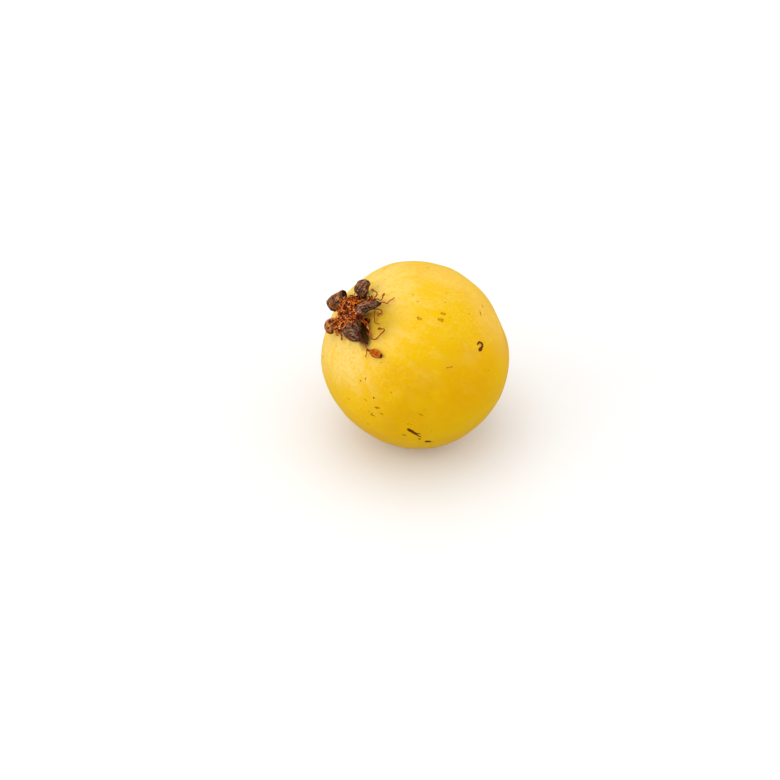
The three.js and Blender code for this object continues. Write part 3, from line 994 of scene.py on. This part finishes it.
def stamen_look(name, dark, rust, bright, clumping=0.0):
    """Threads from dark to bright by their tone, and paler pollen heads."""
    look = Look(name, Specular_IOR_Level=0.12)
    tone, pollen = look.value("tone"), look.value("pollen")
    speckle = look.noise(0.35, detail=3)
    shade = look.plus(tone, look.times(look.math("SUBTRACT", speckle, 0.5), 0.8))
    clumps = look.math("SUBTRACT", look.noise(0.8, detail=1), 0.5)
    shade = look.plus(shade, look.times(clumps, clumping))
    look.colour = look.mix(look.ramp(shade, 0.0, 0.5), dark, rust)
    look.layer(shade, 0.38, 0.95, bright)
    heads = look.mix(look.ramp(shade, 0.15, 0.85), rgb(150, 66, 22), rgb(252, 186, 116))
    look.paint(pollen, heads, 0.92)
    normal = look.bump(look.noise(0.14, detail=3), 0.05)
    return look.finish(look.ramp(speckle, 0.3, 0.7, 0.45, 0.7), normal)


def add_thread(shape, points, radius, tone):
    """A dried thread, a little uneven in thickness."""
    count = len(points)
    uneven = 1 + 0.1 * ripple(points, 1.6, seed=7, octaves=1)
    taper = 1 - 0.25 * np.linspace(0, 1, count)
    vertices, faces = tube(points, radius * uneven * taper)
    shape.add(vertices, faces, tone=tone, pollen=0)


def add_anther(shape, centre, along, out, half, tone):
    """A dried pollen head: two lobes side by side with a groove between them."""
    vertices, faces = ball(14, 9)
    vertices = vertices[:, [2, 0, 1]]
    groove = bell(vertices[:, 1], 0, 0.3) * (0.25 + 0.3 * (vertices[:, 2] > 0))
    shrivelled = 1 + 0.12 * ripple(vertices + 3 * tone, 1.2, seed=5)
    vertices = vertices * shrivelled[:, None]
    vertices[:, 2] *= 1 - groove
    along = unit(along - out * (along @ out))
    axes = np.stack([along, np.cross(out, along), out])
    shape.add((vertices * half) @ axes + centre, faces, tone=tone, pollen=1)


def tuft_core():
    """The matted inside of the tuft, which shows between its threads. make_tuft paints it the
    darkest tone, as painted shade in the gaps.
    """
    core, faces = ball(64, 32)
    angle = np.arctan2(core[:, 1], core[:, 0])
    lobed = 1 + TUFT_LOBE_DEPTH * np.sin(TUFT_LOBES * angle + 1)
    width = (TUFT_RADIUS - TUFT_COVER) * lobed
    height = TUFT_HEIGHT - TUFT_SKIRT - TUFT_COVER
    core = core * np.stack([width, width, np.full(len(core), height)], -1)
    core = core + unit(core) * (CORE_RELIEF * ripple(core, 1.6, seed=6, octaves=3))[:, None]
    core[:, 2] = np.maximum(core[:, 2], -0.5)
    return core + [0, 0, TUFT_FLOOR + TUFT_SKIRT], faces


def ground_of(bodies):
    """A search tree of everything that a stamen can lie on."""
    shape = Shape()
    for points, faces in bodies:
        shape.add(points, faces)
    return BVHTree.FromPolygons(np.concatenate(shape.vertices).tolist(), shape.faces)


def lie_over(ground, places, lifts):
    """Points above whatever is uppermost at places (degrees from the calyx axis, as x and y).

    From one point to the next a stiff thread rises or drops by no more than STIFF mm.
    """
    points, height = [], None
    for (x, y), lift in zip(places, lifts):
        towards = direction(math.hypot(x, y), math.degrees(math.atan2(y, x)))
        hit = ground.ray_cast(Vector(towards * 2 * FRUIT_RADIUS), Vector(-towards))[0]
        above = hit.length + lift
        height = above if height is None else min(max(above, height - STIFF), height + STIFF)
        points.append(towards * height)
    return points


def compass(turn):
    return np.array([math.cos(turn), math.sin(turn)])


def tangled_thread(random, ground, start, spread):
    """Control points of one dried stamen that winds over the others, starting near a place."""
    turn = random.uniform(0, 2 * math.pi)
    place = start + spread * math.sqrt(random.uniform()) * compass(turn)
    heading = random.uniform(0, 2 * math.pi)
    places = []
    for _ in range(TUFT_STEPS):
        places.append(place)
        inwards = math.atan2(start[1] - place[1], start[0] - place[0])
        if np.linalg.norm(place - start) > spread:
            heading = inwards + random.normal(0, 0.7)
        heading += random.normal(0, 0.8)
        place = place + TUFT_STEP * compass(heading)
    lifts = random.uniform(*LAYERS) + random.normal(0, UNEVEN, TUFT_STEPS)
    lifts[0] -= TUCKED_IN
    return lie_over(ground, places, lifts)


def add_head(shape, points, half, tone):
    out = unit(points[-1])
    add_anther(shape, points[-1] + 0.04 * out, points[-1] - points[-3], out, half, tone)


def add_tangle(shape, random, ground, start, spread, threads, paler=0.0):
    for _ in range(threads):
        points = smooth_path(tangled_thread(random, ground, start, spread), per_span=4)
        add_thread(shape, points, random.uniform(*THREAD_RADIUS), random.beta(0.8, 1.0) + paler)
        if random.uniform() < ANTHER_SHARE:
            half = np.array(ANTHER_HALF) * random.uniform(0.7, 1.25)
            add_head(shape, points, half, random.beta(1.6, 1.3))


def make_tuft(core, ground):
    random = np.random.default_rng(3)
    shape = Shape()
    # The core's tone lies below every thread's: painted shade between the threads.
    shape.add(*core, tone=-1.5, pollen=0)
    add_tangle(shape, random, ground, (0, 0), TUFT_SPREAD, TUFT_THREADS)
    for polar, longitude, spread, threads, paler in OVERFLOWS:
        start = direction(90, longitude)[:2] * polar
        add_tangle(shape, random, ground, start, spread, threads, paler)
    for strand in STRANDS:
        places = [direction(90, longitude)[:2] * polar for polar, longitude in strand]
        points = smooth_path(lie_over(ground, places, [THREAD_LIFT] * len(places)), per_span=6)
        add_thread(shape, points, THREAD_RADIUS[1], 0.85)
    add_head(shape, points, BIG_ANTHER_HALF, 1.8)
    tones = rgb(42, 8, 3), rgb(168, 54, 9), rgb(255, 138, 30)
    look = stamen_look("stamens_dry", *tones, clumping=2.6)
    shape.piece("stamen_tuft", "stamen", look)


# Where each loose stamen comes out of the tuft, before the first point of its path.
TUCKED = 5.5  # degrees nearer the calyx axis
ROOTS = {"stamen_drop": [21.5, 140.5, 0.8]}
STAMEN_TONES = {"stamen_hook": 0.3, "stamen_knob": 0.35, "stamen_loop": 0.45, "stamen_elbow": 0.4}


def make_stamens():
    look = stamen_look("loose_stamens_dry", rgb(84, 18, 6), rgb(162, 64, 8), rgb(206, 92, 8))
    for name, path in STAMENS.items():
        places = np.array(path, float)
        root = ROOTS.get(name, places[0] - [TUCKED, 0, 0])
        controls = over_skin(*np.vstack([root, places]).T)
        points = smooth_path(controls, per_span=7)
        points += 0.05 * np.stack([ripple(points, 2.2, seed=s) for s in (61, 62, 63)], -1)
        tone = STAMEN_TONES.get(name, 0.6)
        shape = Shape()
        add_thread(shape, points, FILAMENT_DIAMETER / 2 * FILAMENT_SHARE, tone)
        if name not in LOST_ANTHER:
            end, out = points[-1], unit(points[-1])
            add_anther(shape, end, end - points[-4], out, LOOSE_ANTHER_HALF, 0.25)
        shape.piece(name, "stamen", look)


STYLE_ROOT = [22.6, 97, 2]


def make_style():
    look = stamen_look("style_dry", rgb(46, 12, 16), rgb(100, 34, 24), rgb(140, 50, 30))
    controls = over_skin(*np.array([STYLE_ROOT, *STYLE_PATH], float).T)
    points = smooth_path(controls, per_span=8)
    shape = Shape()
    add_thread(shape, points, STYLE_DIAMETER / 2 * STYLE_SHARE, 0.3)
    head, faces = ball(20, 12)
    head = head * (1 + 0.12 * ripple(head, 0.9, seed=8))[:, None]
    head = head * STYLE_DIAMETER / 2 * STIGMA_SHARE
    shape.add(head + points[-1], faces, tone=0.05, pollen=0)
    shape.piece("style", "style", look)


# ---- table, light, camera

TABLE_HALF = 4.0  # m

CAMERA_LENS = 100
CAMERA_SENSOR = 36
CAMERA_RISE = 42  # degrees above the table
CAMERA_AWAY = 466  # mm from the fruit's centre
CAMERA_LEFT, CAMERA_BELOW = 5.70, 7.42  # mm that the fruit's centre stands off the view's middle

# Softboxes: the side of the fruit that each is on, its distance and size in m, and its power.
SOFTBOXES = {
    "softbox_left": ((-0.9, -0.3, 0.3), 0.5, 0.4, 0.62),
    "softbox_right": ((0.9, -0.1, 0.45), 0.5, 0.4, 0.2),
    "softbox_top": ((-0.15, 0.2, 1.0), 0.5, 0.45, 0.3),
}


def make_table():
    """A plain white table that keeps the fruit's shadow, but throws little light back up at it."""
    mesh = bpy.data.meshes.new("table")
    corners = [(-1, -1), (1, -1), (1, 1), (-1, 1)]
    corners = [(x * TABLE_HALF, y * TABLE_HALF, 0) for x, y in corners]
    mesh.from_pydata(corners, [], [(0, 1, 2, 3)])
    table = into_scene("table", mesh)
    look = Look("table_white", Roughness=0.9, Specular_IOR_Level=0.0)
    seen = look.add("LightPath").outputs["Is Camera Ray"]
    colour = look.mix(seen, rgb(192, 187, 172), rgb(250, 250, 250))
    look.plug(colour, look.surface.inputs["Base Color"])
    mesh.materials.append(look.material)


def make_world(strength):
    """Soft light from all round: white to the camera, plain grey-white to everything else."""
    world = bpy.data.worlds.new("studio")
    bpy.context.scene.world = world
    world.use_nodes = True
    tree = world.node_tree
    background = tree.nodes["Background"]
    background.inputs["Color"].default_value = (1, 1, 1, 1)
    rays = tree.nodes.new("ShaderNodeLightPath")
    seen = tree.nodes.new("ShaderNodeMix")
    seen.inputs[2].default_value = strength
    seen.inputs[3].default_value = 1.0
    tree.links.new(rays.outputs["Is Camera Ray"], seen.inputs[0])
    tree.links.new(seen.outputs[0], background.inputs["Strength"])


def make_softbox(name, towards, distance, size, power):
    """A square softbox that looks at the fruit from the direction `towards`."""
    lamp = bpy.data.lights.new(name, "AREA")
    lamp.shape = "SQUARE"
    lamp.size = size
    lamp.energy = power
    made = into_scene(name, lamp)
    back = Vector(towards).normalized()
    made.location = Vector(CENTRE) * MM + back * distance
    made.rotation_mode = "QUATERNION"
    made.rotation_quaternion = (-back).to_track_quat("-Z", "Y")


def make_camera():
    rise = math.radians(CAMERA_RISE)
    right = Vector((1, 0, 0))
    up = Vector((0, math.sin(rise), math.cos(rise)))
    back = Vector((0, -math.cos(rise), math.sin(rise)))
    lens = bpy.data.cameras.new("camera")
    lens.lens = CAMERA_LENS
    lens.sensor_width = CAMERA_SENSOR
    lens.clip_start = 0.01
    camera = into_scene("camera", lens)
    place = Vector(CENTRE) - CAMERA_LEFT * right - CAMERA_BELOW * up + CAMERA_AWAY * back
    turn = Matrix((right, up, back)).transposed().to_4x4()
    camera.matrix_world = Matrix.Translation(place * MM) @ turn
    bpy.context.scene.camera = camera


make_camera()
make_table()
make_world(strength=0.95)
for name, softbox in SOFTBOXES.items():
    make_softbox(name, *softbox)
bpy.context.scene.view_settings.view_transform = "Standard"

core = tuft_core()
ground = ground_of([make_skin(), make_ring(), *make_sepals(), core])
make_tuft(core, ground)
make_stamens()
make_style()
make_petal()
